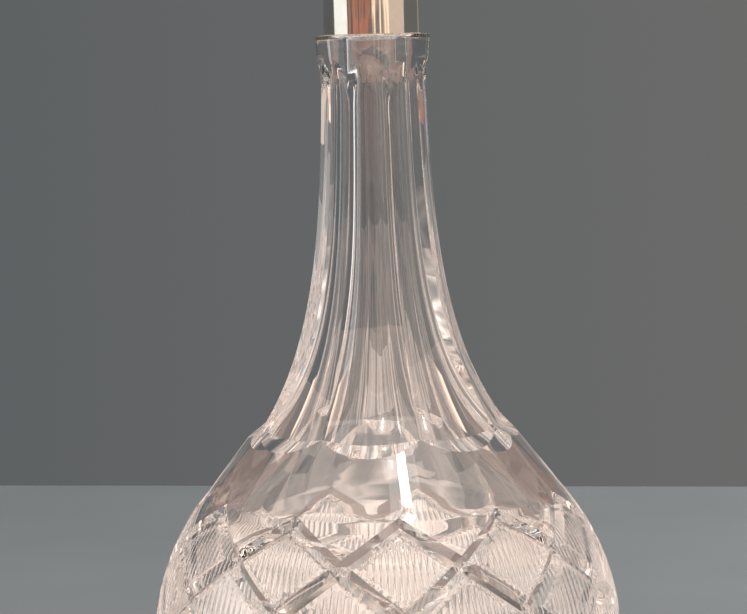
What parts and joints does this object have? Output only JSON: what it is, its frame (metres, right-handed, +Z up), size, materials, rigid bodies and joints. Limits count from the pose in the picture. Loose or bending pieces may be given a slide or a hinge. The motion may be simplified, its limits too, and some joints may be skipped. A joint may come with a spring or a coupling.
{
  "type": "decanter",
  "caption": "Globe-bodied cut crystal decanter with a fluted neck, a silver collar and a faceted ball stopper that lifts out.",
  "frame": {"origin": "centre of the base, on the surface that the decanter stands on", "axes": "+Z up along the axis of the neck, -Y towards the front"},
  "size_m": [0.135, 0.135, 0.2975],
  "materials": {
    "crystal": "gloss",
    "silver": "polished",
    "plaster": "matte"
  },
  "bodies": {
    "decanter": {"crystal_body": "crystal", "collar_sleeve": "silver", "collar_lip": "silver", "collar_plaster": "plaster"},
    "stopper": {"stopper": "crystal"}
  },
  "joints": [
    {"name": "stopper_lift", "type": "slide", "parent": "decanter", "child": "stopper", "axis": [0, 0, 1], "range_m": [0, 0.045]}
  ]
}
